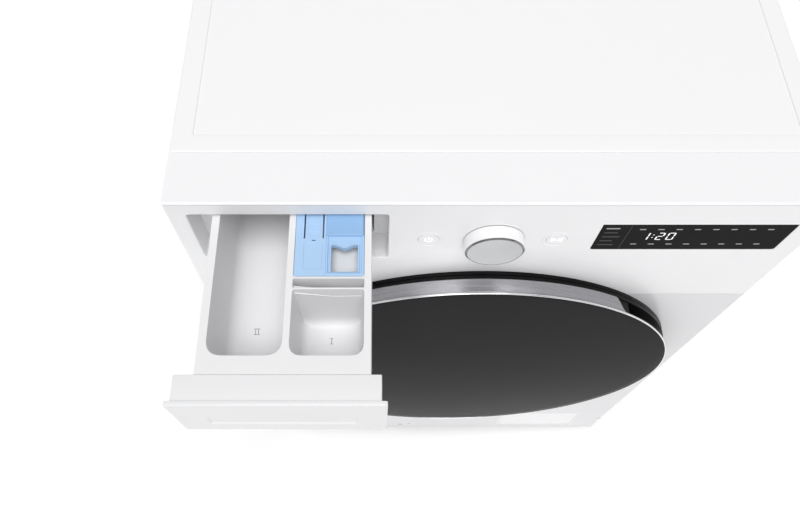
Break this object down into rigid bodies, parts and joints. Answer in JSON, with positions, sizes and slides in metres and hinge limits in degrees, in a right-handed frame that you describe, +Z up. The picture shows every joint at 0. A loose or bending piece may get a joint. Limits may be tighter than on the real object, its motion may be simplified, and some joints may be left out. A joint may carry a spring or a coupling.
{
  "type": "front load washing machine",
  "caption": "Front load washing machine with open detergent drawer, round dark glass door, knob and display, on levelling feet.",
  "frame": {"origin": "on the floor, at the middle of the box of the machine with its drawer open", "axes": "+Z up, -Y towards the user at the front, +X to the user's right"},
  "size_m": [0.6, 0.746, 0.85],
  "materials": {
    "enamel_white": "gloss white coil coating",
    "panel_white": "satin white moulding",
    "tray_white": "fine satin white moulding",
    "siphon_blue": "satin light blue moulding",
    "display_black": "black printed window",
    "dark_glass": "dark tinted glass, backed",
    "clear_glass": "pressed clear glass",
    "trim_silver": "brushed silver trim",
    "frame_black": "black moulding",
    "galvanised": "zinc coated steel",
    "stainless": "bright stainless sheet",
    "cast_alloy": "die cast",
    "grey_plastic": "grey moulding",
    "black_plastic": "black moulding",
    "rubber_grey": "grey moulded rubber",
    "rubber_black": "black moulded rubber",
    "concrete": "cast weight",
    "circuit": "circuit board",
    "bearing_steel": "ground steel",
    "motor_steel": "electrical steel"
  },
  "bodies": {
    "cabinet": {"base_pan": "grey_plastic", "control_board": "circuit", "control_panel": "panel_white", "cord_gland": "black_plastic", "damper_cylinders": "grey_plastic", "dispenser_housing": "tray_white", "display_window": "display_black", "door_bezel": "frame_black", "door_lock": "grey_plastic", "drain_pipe": "grey_plastic", "front_panel": "enamel_white", "hinge_bracket": "galvanised", "inlet_valve": "black_plastic", "left_side_panel": "enamel_white", "pump_housing": "grey_plastic", "pump_motor": "black_plastic", "rear_cover": "galvanised", "rear_panel": "galvanised", "rear_screws": "galvanised", "right_side_panel": "enamel_white", "service_frame": "panel_white", "top_brace": "galvanised", "top_panel": "enamel_white", "transit_caps": "grey_plastic"},
    "door": {"door_glass": "dark_glass", "door_band": "trim_silver", "door_frame": "frame_black", "door_bowl": "clear_glass", "door_hinge_arm": "galvanised"},
    "tub": {"tub_front": "grey_plastic", "tub_rear": "grey_plastic", "door_gasket": "rubber_grey", "counterweights": "concrete", "heater": "bearing_steel", "motor_stator": "motor_steel", "drum_bearings": "bearing_steel", "damper_rods": "galvanised", "suspension_springs": "galvanised", "tub_bellows": "rubber_grey"},
    "drum": {"drum_shell": "stainless", "drum_back": "stainless", "lifters": "stainless", "drum_spider": "cast_alloy", "motor_rotor": "motor_steel", "rotor_bolt": "bearing_steel"},
    "drawer": {"drawer_tray": "tray_white", "drawer_front": "panel_white", "siphon_cover": "siphon_blue"},
    "door_hook": {"door_hook": "grey_plastic"},
    "release_tab": {"release_tab": "siphon_blue"},
    "program_knob": {"program_knob": "panel_white"},
    "power_button": {"power_button": "panel_white"},
    "start_button": {"start_button": "panel_white"},
    "service_flap": {"service_flap": "panel_white"},
    "pump_filter": {"pump_filter": "black_plastic"},
    "pump_impeller": {"pump_impeller": "black_plastic"},
    "foot_front_left": {"foot_front_left": "rubber_black"},
    "foot_front_right": {"foot_front_right": "rubber_black"},
    "foot_rear_left": {"foot_rear_left": "rubber_black"},
    "foot_rear_right": {"foot_rear_right": "rubber_black"}
  },
  "joints": [
    {"name": "door_hinge", "type": "hinge", "parent": "cabinet", "child": "door", "pos_m": [-0.256, -0.216, 0.451], "axis": [0, 0, -1], "range_deg": [0, 115]},
    {"name": "hook_pivot", "type": "hinge", "parent": "door", "child": "door_hook", "pos_m": [0.229, -0.214, 0.451], "axis": [0, 0, 1], "range_deg": [0, 10], "stiffness_Nm_per_rad": 0.1},
    {"name": "tub_float", "type": "slide", "parent": "cabinet", "child": "tub", "axis": [0, 0, 1], "range_m": [-0.006, 0.006], "stiffness_N_per_m": 40000, "springref_m": 0.00976, "deforming": ["suspension_springs", "tub_bellows"]},
    {"name": "drum_spin", "type": "hinge", "parent": "tub", "child": "drum", "pos_m": [0, 0.049, 0.451], "axis": [0, 1, 0], "continuous": true},
    {"name": "drawer_slide", "type": "slide", "parent": "cabinet", "child": "drawer", "axis": [0, 1, 0], "range_m": [0, 0.172]},
    {"name": "release_press", "type": "hinge", "parent": "drawer", "child": "release_tab", "pos_m": [-0.167, -0.1571, 0.8263], "axis": [1, 0, 0], "range_deg": [0, 6], "stiffness_Nm_per_rad": 1.5, "springref_deg": -1.15},
    {"name": "knob_turn", "type": "hinge", "parent": "cabinet", "child": "program_knob", "pos_m": [0, -0.201, 0.784], "axis": [0, 1, 0], "continuous": true},
    {"name": "power_press", "type": "slide", "parent": "cabinet", "child": "power_button", "axis": [0, 1, 0], "range_m": [0, 0.001], "stiffness_N_per_m": 800, "springref_m": -0.0005},
    {"name": "start_press", "type": "slide", "parent": "cabinet", "child": "start_button", "axis": [0, 1, 0], "range_m": [0, 0.001], "stiffness_N_per_m": 800, "springref_m": -0.0005},
    {"name": "flap_hinge", "type": "hinge", "parent": "cabinet", "child": "service_flap", "pos_m": [0.183, -0.19975, 0.03925], "axis": [1, 0, 0], "range_deg": [0, 90]},
    {"name": "filter_turn", "type": "hinge", "parent": "cabinet", "child": "pump_filter", "pos_m": [0.183, -0.201, 0.075], "axis": [0, 1, 0], "range_deg": [-270, 0]},
    {"name": "impeller_spin", "type": "hinge", "parent": "cabinet", "child": "pump_impeller", "pos_m": [0.183, -0.201, 0.075], "axis": [0, 1, 0], "continuous": true},
    {"name": "foot_front_left_screw", "type": "slide", "parent": "cabinet", "child": "foot_front_left", "axis": [0, 0, 1], "range_m": [-0.015, 0]},
    {"name": "foot_front_right_screw", "type": "slide", "parent": "cabinet", "child": "foot_front_right", "axis": [0, 0, 1], "range_m": [-0.015, 0]},
    {"name": "foot_rear_left_screw", "type": "slide", "parent": "cabinet", "child": "foot_rear_left", "axis": [0, 0, 1], "range_m": [-0.015, 0]},
    {"name": "foot_rear_right_screw", "type": "slide", "parent": "cabinet", "child": "foot_rear_right", "axis": [0, 0, 1], "range_m": [-0.015, 0]}
  ]
}
